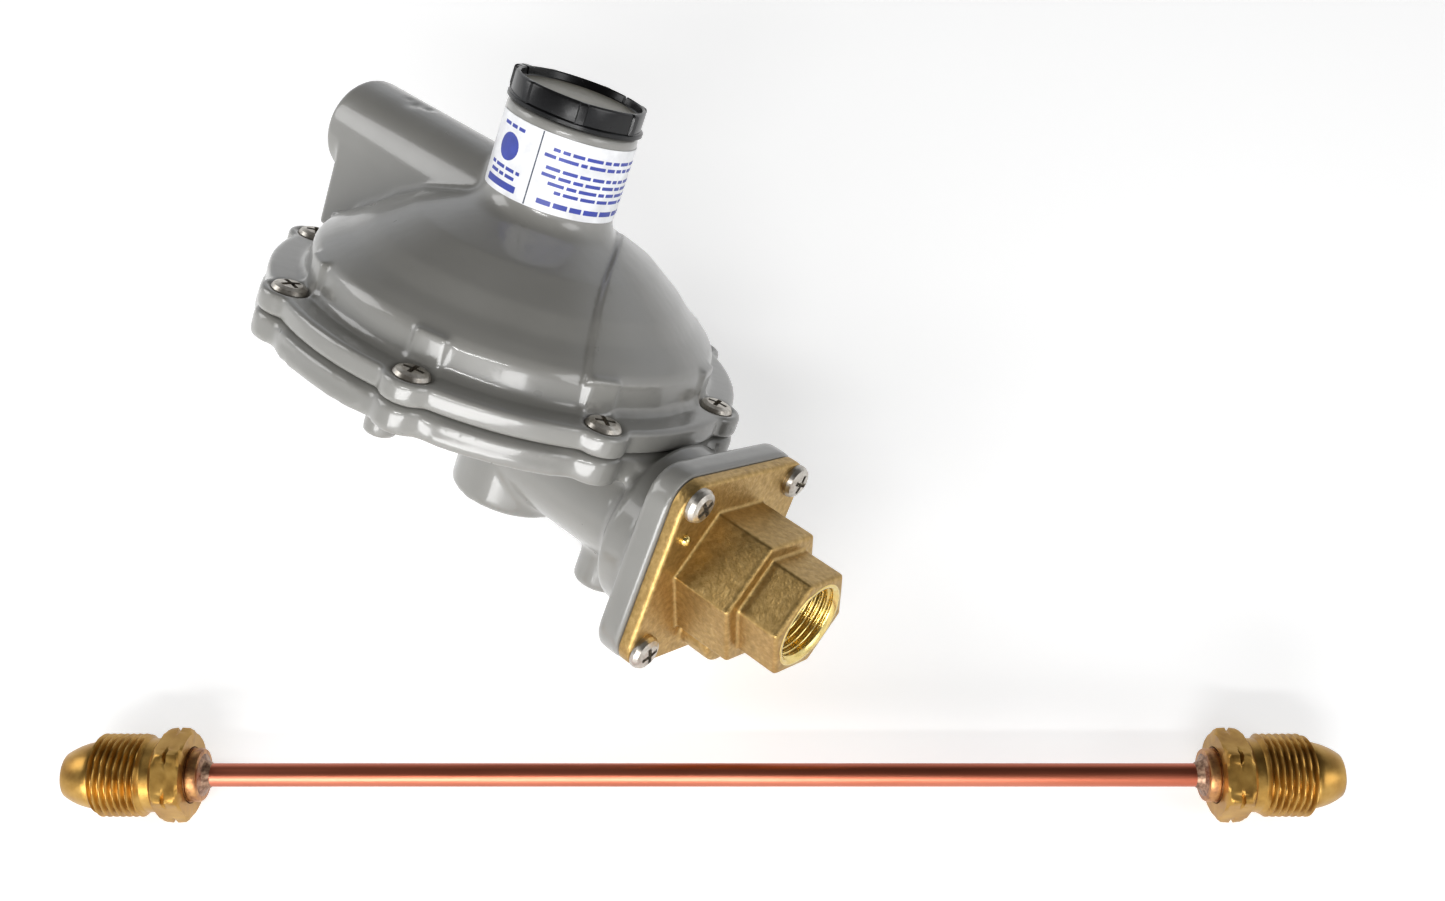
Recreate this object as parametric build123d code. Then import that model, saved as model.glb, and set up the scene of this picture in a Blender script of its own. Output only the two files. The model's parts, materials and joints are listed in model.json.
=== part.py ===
from build123d import *
from math import cos, radians, sin, sqrt
import os

# A two-stage gas pressure regulator for a caravan or a house supply, and the short rigid
# copper pigtail that feeds it.  Both lie loose on a flat surface at z = 0.
#
# The regulator is drawn in a frame of its own, then laid down as one rigid thing:
#   local Z  the bonnet axis, up through the adjusting cap
#   local X  the inlet axis, out of the brass block
#   local origin on the bonnet axis, in the joint between the two castings

# ---- clearances ------------------------------------------------------------------------
running_fit = 0.05          # radial, a part that slides or turns in its bore
thread_gap = 0.03           # radial, between parts that are screwed or pressed together
loose_fit = 0.3             # gap between moving parts that do not guide each other
paint_gap = 0.9             # height of the shadow line between the castings

# ---- casting joint and its screws ------------------------------------------------------
screw_count = 8
screw_circle_r = 68.5
first_screw_deg = 22.5
flange_r = 72.5             # flange between the lugs
lug_r = 8.0
upper_flange_h = 7.0
lower_flange_h = 8.5
edge_round = 1.2            # cast edges
screw_shank_r = 2.5
screw_clearance = 0.25
screw_head_r = 5.2
screw_head_h = 2.7
screw_sink = 1.3            # how deep a head stands in its spot face
screw_grip = 6.0            # thread in the lower casting

# ---- upper casting: dome, bonnet and vent ----------------------------------------------
wall = 3.0
dome_r = 62.0
shoulder_h = 13.5
crown_z = 42.5              # where the dome meets the bonnet
bonnet_r = 19.7
bonnet_top = 72.0
bonnet_bore_r = 16.0
vent_z = 36.5
vent_r = 16.2
vent_end = 81.5             # reach of the vent from the bonnet axis
web_end = 75.0              # reach of the wall under the vent
vent_bore_r = 12.4          # 3/4 in. pipe thread, at its pitch line
vent_thread = 16.0
vent_seat_r = 11.6          # step behind the thread, for the screen and its ring
vent_seat = 2.6
vent_ring_t = 1.2
screen_t = 0.8
screen_rim = 1.6
screen_mesh = 2.3
screen_wire = 0.5
vent_throat_r = 10.0
flap_x = -38.0              # hinged flap in the throat
flap_t = 1.0
flap_drop = 2.4             # hinge line below the throat's top
flap_pin_r = 0.7

# ---- lower casting: bowl, neck, outlet and first stage ---------------------------------
bowl_r = 56.0
bowl_depth = 10.5
outlet_x = 18.5
outlet_r = 18.0
outlet_end = 43.5
outlet_bore_r = 12.4        # 3/4 in. pipe thread, at its pitch line
outlet_thread = 7.8         # ends below the neck's bore
outlet_throat_r = 11.4      # above the thread
inlet_z = -22.1
neck_r = 18.0
neck_bore_r = 13.0
flange_back_x = 85.0
flange_face_x = 93.4
flange_half = 30.0
flange_corner = 10.0
stage_r = 26.0              # round chamber behind the square flange
stage_x = 69.5
stage_bore_r = 18.5
wall_left_x = 38.0          # partition that holds the second-stage orifice
wall_right_x = 44.0
guide_left_x = 66.0         # wall that guides the first-stage piston
guide_right_x = 73.5
relief_x = 61.5             # round column under the neck
relief_r = 8.0
relief_end = 50.5
front_boss = (10.5, -53.0)
front_boss_r = 4.8
front_boss_end = 20.6
tap_centre = (-8.0, 23.0)   # outlet pressure tap, at the back
tap_r = 7.0
tap_end = 38.6
tap_bore_r = 4.3            # 1/8 in. pipe thread
tap_plug_h = 7.0
tap_socket = 2.4            # inside radius of a plug's hexagon
tap_socket_depth = 3.7
balance_r = 0.8             # hole that vents the back of the first stage

# ---- brass inlet block -----------------------------------------------------------------
plate_half = 29.2
plate_t = 4.3
plate_corner = 8.0
plate_screw = 23.4          # half of the square of screws
big_hex_flat = 36.8
big_hex_end = 116.9
small_hex_flat = 28.6       # 1-1/8 in. spanner
mouth_x = 130.7
mouth_r = 11.9
inlet_thread_r = 10.6       # 0.885 in. gas thread, inside
inlet_thread_end = 110.0
seat_cone_end = 104.5
inlet_passage_r = 3.6
orifice_depth = 5.0         # socket of the first-stage nozzle
filter_t = 3.0
block_boss_z = -41.0
block_boss_r = 7.7
block_boss_end = 108.5
inlet_screw_shank_r = 2.4
inlet_screw_head_r = 5.0
inlet_screw_head_h = 3.2
inlet_screw_grip = 6.5
gasket_t = 0.8

# ---- working parts of the second stage -------------------------------------------------
diaphragm_t = 1.4
diaphragm_rim_r = 63.5
roll_r = 49.25             # middle of the rolled convolution
roll_half = 6.75
roll_h = 4.0
plate_r = 41.0
plate_sheet = 1.2
lower_washer_r = 16.0
post_r = 3.0
post_top = 24.0
relief_coil_r = 5.2
relief_wire = 1.2
relief_nut_flat = 5.5       # inside radius of its hexagon
relief_nut_h = 3.5
relief_washer_r = 7.0
relief_washer_t = 1.2
main_wire = 2.6
spring_clearance = 2.5      # from the main spring to the bonnet's bore
seat_clearance = 1.2        # from the spring seat to the bonnet's bore
seat_low = 50.5             # underside of the upper spring seat
seat_h = 3.0
adjuster_h = 6.0
adjuster_socket = 6.35      # inside radius of its hexagon
adjuster_floor = 2.0
pivot_x = 24.0
pivot_drop = 8.5            # pivot below the valve axis
pin_r = 1.5
pin_half = 13.5
lever_w = 6.0
lever_t = 2.2
lever_cheek = 1.2
lever_nose = 2.6
link_gap = 0.9              # free play between the lever, the valve stem and the post
lever_tip_z = -5.5
lever_tip_x = -1.5
valve_r = 4.5
valve_left_x = 19.0
valve_right_x = 33.0
nozzle_gap = 1.0            # open gap at rest
nozzle_r = 4.0
guide_ring_x = 28.5
guide_ring_t = 3.0
guide_hole_r = 2.6
guide_hole_at = 9.0         # holes' distance from the valve axis
valve_disc_r = 3.6
valve_disc_t = 2.6
orifice_thread_r = 6.0      # both stages' nozzles
orifice_bore_r = 1.8

# ---- working parts of the first stage --------------------------------------------------
piston_face_x = 90.0
piston_head_t = 5.0
piston_stem_r = 8.0
piston_stem_end = 60.0
piston_bore_r = 2.5
piston_disc_r = 4.6
piston_disc_t = 1.8
first_nozzle_bore_r = 0.9
first_gap = 1.4
ring_wire = 2.0
ring_slack = 0.02           # a seal is this much thinner than its groove
first_coil_r = 13.2
first_wire = 2.4

# ---- cap and label ---------------------------------------------------------------------
cap_r = 20.3
cap_h = 7.8
cap_rim = 2.2
cap_well = 2.6
cap_slit_w = 1.1
cap_slit_deg = 86.0
cap_lug_deg = -163.0
cap_ribs = 7
cap_first_rib = -45.0
cap_spigot = 6.5
cap_gasket_t = 0.8
label_t = 0.2
label_low = 47.0
label_high = 69.0
label_from_deg = -128.0
label_to_deg = 62.0

# ---- pigtail ---------------------------------------------------------------------------
pigtail_length = 349.4      # nose to nose
tube_r = 3.175              # 1/4 in. copper tube
tube_wall = 0.8
nose_length = 8.6
nose_tip_r = 6.2
nose_r = 9.2
nut_thread_r = 11.2         # 0.885 in. gas thread, outside
nut_thread = 14.2
thread_pitch = 25.4 / 14
nut_neck_r = 9.9
nut_neck = 3.5
nut_flat = 22.225           # 7/8 in. spanner
nut_hex = 7.8
nut_bore_r = 7.6
nipple_r = 7.0              # tail that stands out behind the nut
nipple_tail = 3.0
nipple_bore_r = 2.2
tube_socket = 9.0           # how far the tube goes into the nipple
braze = 1.4

# ---- where the two things lie ----------------------------------------------------------
inlet_heading = -41.4       # turn of the inlet axis, seen from above, from the pigtail's line
pigtail_ahead = 126.3       # from the bonnet's foot to the pigtail's centre line
pigtail_aside = 61.4

LOW = (Align.CENTER, Align.CENTER, Align.MIN)


# ---- drawing helpers -------------------------------------------------------------------
def rod_z(radius, low, high, x=0.0, y=0.0):
    return Pos(x, y, low) * Cylinder(radius, high - low, align=LOW)


def rod_x(radius, left, right, y=0.0, z=inlet_z):
    return Pos(left, y, z) * Rot(0, 90, 0) * Cylinder(radius, right - left, align=LOW)


def turned(points):
    """A solid turned about Z from (radius, height) points."""
    outline = Polyline([(r, 0, z) for r, z in points], close=True)
    return revolve(make_face(outline), axis=Axis.Z)


def along_x(shape, x=0.0, z=inlet_z):
    """Lay a shape drawn along Z on the inlet axis, with its z running along X."""
    return Pos(x, 0, z) * Rot(0, 90, 0) * shape


def hexagon_x(flat, left, right, z=inlet_z):
    """A hexagonal bar along X with flats on top and below."""
    outline = RegularPolygon(flat / 2, 6, major_radius=False)
    bar = extrude(Rot(0, 0, 30) * outline, amount=right - left)
    return Pos(left, 0, z) * Rot(0, 90, 0) * Rot(0, 0, 90) * Rot(0, 0, 30) * bar


def slab_x(half, corner, left, right, z=inlet_z):
    """A square plate across the inlet axis, with rounded corners."""
    outline = RectangleRounded(2 * half, 2 * half, corner)
    return Pos(left, 0, z) * Rot(0, 90, 0) * extrude(outline, amount=right - left)


def coil(mean_r, wire, low, high, turns):
    """A compression spring with its wire's centre line between two heights."""
    rise = high - low - wire
    path = Pos(0, 0, low + wire / 2) * Helix(rise / turns, rise, mean_r)
    section = Plane(origin=path @ 0, z_dir=path % 0) * Circle(wire / 2)
    return sweep(section, path=path, is_frenet=True)


def ring(inner, outer, low, high, x=0.0, y=0.0):
    return rod_z(outer, low, high, x, y) - rod_z(inner, low - 1, high + 1, x, y)


def screw_places():
    step = 360.0 / screw_count
    return [
        (screw_circle_r * cos(radians(first_screw_deg + step * k)),
         screw_circle_r * sin(radians(first_screw_deg + step * k)))
        for k in range(screw_count)
    ]


def lug(x, y, low, high):
    """A screw lug with rounded rims, tied to the flange by a short block."""
    height = high - low
    round_lug = turned([
        (0, 0), (lug_r - edge_round, 0), (lug_r - edge_round * 0.3, edge_round * 0.3),
        (lug_r, edge_round), (lug_r, height - edge_round),
        (lug_r - edge_round * 0.3, height - edge_round * 0.3),
        (lug_r - edge_round, height), (0, height),
    ])
    return Pos(x, y, low) * round_lug


def flange_ring(inner, outer, low, high):
    """A ring with rounded outer rims."""
    r = edge_round
    return turned([
        (inner, low), (outer - r, low), (outer - 0.3 * r, low + 0.3 * r), (outer, low + r),
        (outer, high - r), (outer - 0.3 * r, high - 0.3 * r), (outer - r, high), (inner, high),
    ])


def phillips_head(head_r, head_h, shank_r, length):
    """A pan-head screw, head up, with the head's seat at z = 0."""
    dome = turned([
        (0, 0), (head_r, 0), (head_r, head_h * 0.35), (head_r * 0.88, head_h * 0.72),
        (head_r * 0.62, head_h * 0.93), (0, head_h),
    ])
    slot = Pos(0, 0, head_h) * Box(head_r * 1.15, head_r * 0.26, head_h * 1.2)
    cross = slot + Rot(0, 0, 90) * slot
    shank = Pos(0, 0, -length) * Cylinder(shank_r, length, align=LOW)
    return dome - cross + shank


# ---- castings --------------------------------------------------------------------------
def dome_outline():
    """Outside of the dome from the flange up to the bonnet, as (radius, height)."""
    return [
        (dome_r + 0.8, upper_flange_h),
        (dome_r, shoulder_h - 2.5),
        (dome_r - 1.2, shoulder_h + 1.0),
        (dome_r - 4.0, shoulder_h + 4.8),
        (dome_r - 8.0, shoulder_h + 9.0),
        (dome_r - 14.5, shoulder_h + 14.8),
        (dome_r - 25.0, shoulder_h + 21.8),
        (dome_r - 35.5, crown_z - 2.6),
        (bonnet_r + 3.2, crown_z - 1.0),
        (bonnet_r + 1.0, crown_z + 0.8),
        (bonnet_r, crown_z + 3.5),
    ]


def dome_hollow():
    outside = dome_outline()
    inside = [(r - wall, z - wall * 0.85) for r, z in outside[1:8]]
    points = [(0, diaphragm_t), (dome_r - 5.0, diaphragm_t), (dome_r - wall - 1.0, shoulder_h - 6.0)]
    points += inside + [(bonnet_bore_r, crown_z - wall - 2.0), (bonnet_bore_r, bonnet_top + 1.0)]
    return turned(points + [(0, bonnet_top + 1.0)])


def upper_casting():
    top = turned(
        [(0, 0), (dome_r, 0), (dome_r + 0.8, 0.5)] + dome_outline()
        + [(bonnet_r, bonnet_top - 0.8), (bonnet_r - 0.8, bonnet_top), (0, bonnet_top)]
    )
    body = top + flange_ring(dome_r - 2.0, flange_r, 0, upper_flange_h)
    for x, y in screw_places():
        body += lug(x, y, 0, upper_flange_h)
    vent = rod_x(vent_r, -vent_end, -10.0, z=vent_z)
    vent = fillet(vent.edges().filter_by(GeomType.CIRCLE).group_by(Axis.X)[0], 1.0)
    web_low = upper_flange_h - 1.0
    web = Pos(-web_end, 0, web_low) * Box(
        web_end - 20.0, 2 * vent_r - 0.4, vent_z - web_low, align=(Align.MIN, Align.CENTER, Align.MIN)
    )
    body += vent + web
    body -= dome_hollow()
    body -= rod_z(diaphragm_rim_r + 0.2, -1.0, diaphragm_t)
    body -= rod_x(vent_bore_r, -vent_end - 1.0, vent_thread - vent_end, z=vent_z)
    body -= rod_x(vent_seat_r, -vent_end, vent_thread + vent_seat - vent_end, z=vent_z)
    body -= rod_x(vent_throat_r, -vent_end, -8.0, z=vent_z)
    body -= flap_hinge(flap_pin_r + thread_gap, 18.4)
    for x, y in screw_places():
        body -= rod_z(screw_shank_r + screw_clearance, -1.0, upper_flange_h + 1.0, x, y)
        body -= rod_z(screw_head_r + 0.5, upper_flange_h - screw_sink, upper_flange_h + 1.0, x, y)
    return body


def lower_casting():
    low = -lower_flange_h
    body = flange_ring(bowl_r - 4.0, flange_r + 0.6, low, -paint_gap)
    body += rod_z(flange_r - 1.4, -paint_gap - 0.5, 0)
    for x, y in screw_places():
        body += lug(x, y, low, 0)
    body += turned([
        (0, low - 5.5), (bowl_r - 12.0, low - 5.5), (bowl_r - 2.0, low - 3.0), (bowl_r + 6.0, low + 1.0),
        (bowl_r + 6.0, -1.0), (0, -1.0),
    ])
    outlet = turned([
        (0, 0), (outlet_r - 1.0, 0), (outlet_r - 0.3, 0.3), (outlet_r, 1.0),
        (outlet_r, outlet_end - 2.0), (0, outlet_end - 2.0),
    ])
    body += Pos(outlet_x, 0, -outlet_end) * outlet
    body += rod_x(neck_r, outlet_x, flange_back_x + 1.0)
    stage = turned([
        (0, 0), (neck_r, 0), (stage_r, 5.5), (stage_r, flange_back_x - stage_x + 1.0),
        (0, flange_back_x - stage_x + 1.0),
    ])
    body += along_x(stage, x=stage_x)
    square = slab_x(flange_half, flange_corner, flange_back_x, flange_face_x)
    body += chamfer(square.edges().group_by(Axis.X)[0], 1.2)
    body += rod_z(relief_r, -relief_end, inlet_z, x=relief_x)
    body += rod_z(front_boss_r, -front_boss_end, low + 1.0, *front_boss)
    body += rod_z(tap_r, -tap_end, low - 2.0, *tap_centre)
    for side in (-1, 1):
        rib = Polyline(
            (outlet_x + 22.0, 0, low + 1.0), (flange_back_x - 14.0, 0, low + 1.0),
            (outlet_x + 34.0, 0, low - 9.0), (outlet_x + 22.0, 0, low - 9.0), close=True,
        )
        body += Pos(0, side * 15.0 + 1.5, 0) * extrude(make_face(rib), amount=3.0)

    body -= turned([
        (0, -bowl_depth), (bowl_r - 13.0, -bowl_depth), (bowl_r - 2.0, -bowl_depth + 4.0),
        (bowl_r, -bowl_depth + 6.5), (bowl_r, 1.0), (0, 1.0),
    ])
    body -= rod_z(outlet_bore_r, -outlet_end - 1.0, outlet_thread - outlet_end, x=outlet_x)
    body -= rod_z(outlet_throat_r, -outlet_end, -bowl_depth + 1.0, x=outlet_x)
    body -= rod_x(neck_bore_r, outlet_x, wall_left_x)
    body -= rod_x(neck_bore_r, wall_right_x, guide_left_x)
    body -= rod_x(orifice_thread_r, wall_left_x - 1.0, wall_right_x + 1.0)
    body -= rod_x(piston_stem_r + running_fit, guide_left_x - 1.0, guide_right_x + 1.0)
    body -= rod_x(stage_bore_r, guide_right_x, flange_face_x + 1.0)
    body -= rod_z(tap_bore_r, -relief_end - 1.0, inlet_z, x=relief_x)
    body -= rod_z(tap_bore_r, -tap_end - 1.0, -bowl_depth + 1.0, *tap_centre)
    body -= rod_z(balance_r, inlet_z, 12.0, x=guide_right_x + 3.0)
    pin_hole = Cylinder(pin_r + thread_gap, 2 * pin_half + 0.4)
    body -= Pos(pivot_x, 0, inlet_z - pivot_drop) * Rot(90, 0, 0) * pin_hole
    for x, y in screw_places():
        body -= rod_z(screw_shank_r + thread_gap, -screw_grip - 0.6, 1.0, x, y)
    for y in (-plate_screw, plate_screw):
        for z in (inlet_z - plate_screw, inlet_z + plate_screw):
            hole_r = inlet_screw_shank_r + thread_gap
            body -= rod_x(hole_r, flange_face_x - inlet_screw_grip, flange_face_x + 1, y, z)
    return body


# ---- brass inlet block and what it holds -----------------------------------------------
block_back_x = flange_face_x
plate_front_x = flange_face_x + plate_t
nozzle_one_x = piston_face_x + first_gap            # tip of the first-stage nozzle


def inlet_block():
    plate = slab_x(plate_half, plate_corner, block_back_x, plate_front_x)
    plate = fillet(plate.edges().group_by(Axis.X)[-1], 1.0)
    big = hexagon_x(big_hex_flat, plate_front_x - 1.0, big_hex_end)
    big = fillet(big.edges().group_by(Axis.X)[-1], 1.0)
    small = hexagon_x(small_hex_flat, big_hex_end - 2.0, mouth_x)
    small = chamfer(small.edges().group_by(Axis.X)[-1], 0.8)
    boss = rod_x(block_boss_r, plate_front_x - 1.0, block_boss_end, z=block_boss_z)
    boss = fillet(boss.edges().group_by(Axis.X)[-1], 1.2)
    body = plate + big + small + boss
    cut = turned([
        (0, 0), (orifice_thread_r, 0), (orifice_thread_r, orifice_depth), (inlet_passage_r, orifice_depth),
        (inlet_passage_r, seat_cone_end - block_back_x),
        (inlet_thread_r - 1.4, inlet_thread_end - block_back_x - 1.0),
        (inlet_thread_r, inlet_thread_end - block_back_x),
        (inlet_thread_r, mouth_x - 1.3 - block_back_x), (mouth_r, mouth_x - block_back_x),
        (mouth_r, mouth_x - block_back_x + 1.0), (0, mouth_x - block_back_x + 1.0),
    ])
    body -= along_x(cut, x=block_back_x)
    for y in (-plate_screw, plate_screw):
        for z in (inlet_z - plate_screw, inlet_z + plate_screw):
            hole_r = inlet_screw_shank_r + screw_clearance
            body -= rod_x(hole_r, block_back_x - 1, plate_front_x + 1, y, z)
    groove = ring(stage_bore_r + 0.6, stage_bore_r + 3.4, -1.0, gasket_t)
    body -= along_x(groove, x=block_back_x)
    return body


def inlet_gasket():
    return along_x(ring(stage_bore_r + 0.8, stage_bore_r + 3.2, 0, gasket_t), x=block_back_x)


def inlet_orifice():
    tip = nozzle_one_x - block_back_x
    body = turned([
        (first_nozzle_bore_r, tip), (2.6, tip), (4.0, -0.4), (orifice_thread_r - thread_gap, -0.4),
        (orifice_thread_r - thread_gap, orifice_depth - 0.1), (first_nozzle_bore_r, orifice_depth - 0.1),
    ])
    return along_x(body, x=block_back_x)


def inlet_filter():
    return along_x(turned([
        (0, 0), (inlet_passage_r - thread_gap, 0), (inlet_passage_r - thread_gap, filter_t), (0, filter_t),
    ]), x=block_back_x + orifice_depth + 1.0)


def inlet_screws():
    screw = phillips_head(inlet_screw_head_r, inlet_screw_head_h, inlet_screw_shank_r,
                          plate_t + inlet_screw_grip - 0.5)
    group = []
    for y in (-plate_screw, plate_screw):
        for z in (inlet_z - plate_screw, inlet_z + plate_screw):
            turn = 25.0 + 17.0 * len(group)
            group.append(Pos(plate_front_x, y, z) * Rot(0, 90, 0) * Rot(0, 0, turn) * screw)
    return Compound(children=group)


def flange_screws():
    length = upper_flange_h - screw_sink + screw_grip
    screw = phillips_head(screw_head_r, screw_head_h, screw_shank_r, length)
    group = []
    for x, y in screw_places():
        turn = 20.0 + 31.0 * len(group)
        group.append(Pos(x, y, upper_flange_h - screw_sink) * Rot(0, 0, turn) * screw)
    return Compound(children=group)


def ball_plug():
    return Pos(plate_front_x + 0.4, -23.5, inlet_z + 12.5) * Sphere(1.6) & slab_x(
        plate_half, plate_corner, plate_front_x, plate_front_x + 5.0
    )


def tap_plug(x, y, low):
    """A pipe plug with a hexagon socket, flush in its tap."""
    plug = rod_z(tap_bore_r - thread_gap, low + 0.8, low + tap_plug_h, x, y)
    socket = extrude(RegularPolygon(tap_socket, 6, major_radius=False), amount=tap_socket_depth + 0.3)
    return plug - Pos(x, y, low + 0.5) * socket


# ---- second stage ----------------------------------------------------------------------
plate_z = diaphragm_t                     # top of the rubber at its middle
main_coil_r = bonnet_bore_r - spring_clearance - main_wire / 2
relief_nut_low = post_top - relief_nut_h - 0.5


def diaphragm():
    """Moulded rubber sheet: clamped rim, one rolled convolution, flat middle with a post hole."""
    t = diaphragm_t
    inner, outer = roll_r - roll_half, roll_r + roll_half
    top = [
        (diaphragm_rim_r, t), (outer, t), (outer - 2.5, t + 0.65 * roll_h), (roll_r + 1.5, t + roll_h),
        (roll_r - 1.5, t + roll_h), (inner + 2.0, t + 0.65 * roll_h), (inner, t),
    ]
    under = [(r, z - t) for r, z in reversed(top)]
    return turned(top + [(post_r + 0.1, t), (post_r + 0.1, 0)] + under)


def diaphragm_plate():
    t = plate_sheet
    z = plate_z
    return turned([
        (post_r + running_fit, z), (plate_r - 1.0, z), (plate_r - 0.4, z + 4.0),
        (plate_r - 0.4 - t, z + 4.0),
        (plate_r - 2.2, z + t), (main_coil_r + 4.0, z + t), (main_coil_r + 3.5, z + t + 2.0),
        (main_coil_r + 2.3, z + t + 2.0), (main_coil_r + 2.0, z + t), (post_r + running_fit, z + t),
    ])


def lower_washer():
    return ring(post_r + thread_gap, lower_washer_r, -1.2, 0)


def pusher_post():
    """Relief post: a foot under the washer, a stem up through the plate, a threaded top."""
    nose_z = lever_tip_z + lever_t / 2 + link_gap - loose_fit
    return turned([
        (0, nose_z), (1.5, nose_z), (1.5, nose_z + 1.1), (4.5, nose_z + 1.1),
        (4.5, -1.2), (post_r, -1.2), (post_r, post_top), (0, post_top),
    ])


def relief_nut():
    nut = extrude(RegularPolygon(relief_nut_flat, 6, major_radius=False), amount=relief_nut_h)
    nut -= Cylinder(post_r + thread_gap, 3 * relief_nut_h)
    return Pos(0, 0, relief_nut_low) * nut


def relief_spring():
    high = relief_nut_low - relief_washer_t - 0.1
    return coil(relief_coil_r, relief_wire, plate_z + plate_sheet, high, 6)


def relief_washer():
    return ring(post_r + running_fit, relief_washer_r, relief_nut_low - relief_washer_t, relief_nut_low)


def main_spring():
    return coil(main_coil_r, main_wire, plate_z + plate_sheet, seat_low, 6)


def spring_seat():
    rim_r = bonnet_bore_r - seat_clearance
    return turned([
        (0, seat_low + 1.0), (main_coil_r - 2.2, seat_low - 2.5), (main_coil_r - 1.6, seat_low),
        (rim_r, seat_low), (rim_r, seat_low + seat_h - 0.6),
        (4.0, seat_low + seat_h - 0.6), (0, seat_low + seat_h),
    ])


adjuster_low = seat_low + seat_h + 0.1


def adjusting_screw():
    body = rod_z(bonnet_bore_r - running_fit, adjuster_low, adjuster_low + adjuster_h)
    socket = extrude(RegularPolygon(adjuster_socket, 6, major_radius=False), amount=adjuster_h)
    return body - Pos(0, 0, adjuster_low + adjuster_floor) * socket


def lever_pin():
    return Pos(pivot_x, 0, inlet_z - pivot_drop) * Rot(90, 0, 0) * Cylinder(pin_r, 2 * pin_half)


def lever():
    """Bell crank: hub on the pin, a nose up into the valve stem, a long arm up to the post."""
    hub_z = inlet_z - pivot_drop
    hub = Pos(pivot_x, 0, hub_z) * Rot(90, 0, 0) * Cylinder(pin_r + 1.7, lever_w)
    nose = Pos(pivot_x, 0, hub_z) * Box(lever_nose, lever_nose + 0.4, pivot_drop + 1.2, align=LOW)
    elbow_x = outlet_x - 7.0
    reach = Polyline(
        (pivot_x, 0, hub_z - 1.4), (pivot_x, 0, hub_z + 1.6),
        (elbow_x + 1.0, 0, lever_tip_z + lever_t / 2),
        (lever_tip_x, 0, lever_tip_z + lever_t / 2), (lever_tip_x, 0, lever_tip_z - lever_t / 2),
        (elbow_x - 0.8, 0, lever_tip_z - lever_t / 2), close=True,
    )
    face = make_face(reach)
    cheek = extrude(face, amount=lever_cheek / 2, both=True)
    cheek_y = valve_r + 2 * loose_fit + lever_cheek / 2
    arm = Pos(0, -cheek_y, 0) * cheek + Pos(0, cheek_y, 0) * cheek
    low = lever_tip_z - lever_t / 2
    across = 2 * cheek_y + lever_cheek
    tie_length = elbow_x - lever_tip_x
    tie = Pos(lever_tip_x + tie_length / 2, 0, low) * Box(tie_length, across, lever_t, align=LOW)
    foot = Pos(pivot_x, 0, hub_z) * Rot(90, 0, 0) * Cylinder(pin_r + 1.7, across)
    body = hub + nose + arm + tie + foot
    pin_bore = Cylinder(pin_r + running_fit, 2 * across)
    return body - Pos(pivot_x, 0, hub_z) * Rot(90, 0, 0) * pin_bore


def valve_stem():
    body = rod_x(valve_r, valve_left_x, valve_right_x - 0.8)
    slot_w = lever_nose + 2 * link_gap
    body -= Pos(pivot_x, 0, inlet_z - 3.0) * Box(slot_w, lever_nose + 2 * loose_fit + 0.8, 12.0)
    return body - rod_x(valve_disc_r, valve_right_x - valve_disc_t, valve_right_x)


def valve_disc():
    return rod_x(valve_disc_r - thread_gap, valve_right_x - valve_disc_t + thread_gap, valve_right_x)


def valve_guide():
    """Spider that centres the valve stem in the neck."""
    body = rod_x(neck_bore_r - thread_gap, guide_ring_x, guide_ring_x + guide_ring_t)
    body -= rod_x(valve_r + running_fit, guide_ring_x - 1, guide_ring_x + guide_ring_t + 1)
    for k in range(6):
        angle = radians(60 * k + 30)
        y, z = guide_hole_at * cos(angle), inlet_z + guide_hole_at * sin(angle)
        body -= rod_x(guide_hole_r, guide_ring_x - 1, guide_ring_x + guide_ring_t + 1, y, z)
    return body


def outlet_orifice():
    tip = valve_right_x + nozzle_gap
    seat, end = wall_left_x - tip, wall_right_x - tip
    return along_x(turned([
        (orifice_bore_r, 0), (2.6, 0), (nozzle_r, 1.2), (nozzle_r, seat - 1.5), (8.0, seat - 1.5),
        (8.0, seat), (orifice_thread_r - thread_gap, seat), (orifice_thread_r - thread_gap, end),
        (orifice_bore_r, end),
    ]), x=tip)


# ---- first stage -----------------------------------------------------------------------
def first_piston():
    head_back = piston_face_x - piston_head_t
    body = rod_x(stage_bore_r - running_fit, head_back, piston_face_x)
    body += rod_x(piston_stem_r, piston_stem_end, head_back + 1.0)
    body -= rod_x(piston_bore_r, piston_stem_end - 1.0, piston_face_x - 3.4)
    body -= rod_x(piston_disc_r, piston_face_x - piston_disc_t, piston_face_x + 1.0)
    for k in range(4):
        angle = radians(90 * k + 45)
        y, z = 7.2 * cos(angle), 7.2 * sin(angle)
        body -= rod_x(1.2, piston_face_x - 4.0, piston_face_x + 1.0, y, inlet_z + z)
        drill = Pos(piston_face_x - 4.0, y / 2, inlet_z + z / 2) * Rot(90 * k + 45, 0, 0)
        body -= drill * Rot(90, 0, 0) * Cylinder(1.1, 8.0)
    head_mid = piston_face_x - piston_head_t / 2
    body -= piston_groove(stage_bore_r - running_fit, head_mid)
    return body - piston_groove(piston_stem_r, (guide_left_x + guide_right_x) / 2)


def piston_groove(radius, middle):
    return along_x(ring(radius - ring_wire, radius + 1.0, -ring_wire / 2, ring_wire / 2), x=middle)


def piston_seal(radius, middle):
    core = radius - ring_wire / 2
    circle = Pos(core, 0, 0) * Rot(90, 0, 0) * Circle(ring_wire / 2 - ring_slack)
    return along_x(revolve(circle, axis=Axis.Z), x=middle)


def piston_seals():
    head_mid = piston_face_x - piston_head_t / 2
    return Compound(children=[
        piston_seal(stage_bore_r - running_fit, head_mid),
        piston_seal(piston_stem_r, (guide_left_x + guide_right_x) / 2),
    ])


def piston_disc():
    return rod_x(piston_disc_r - thread_gap, piston_face_x - piston_disc_t + thread_gap, piston_face_x)


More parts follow.
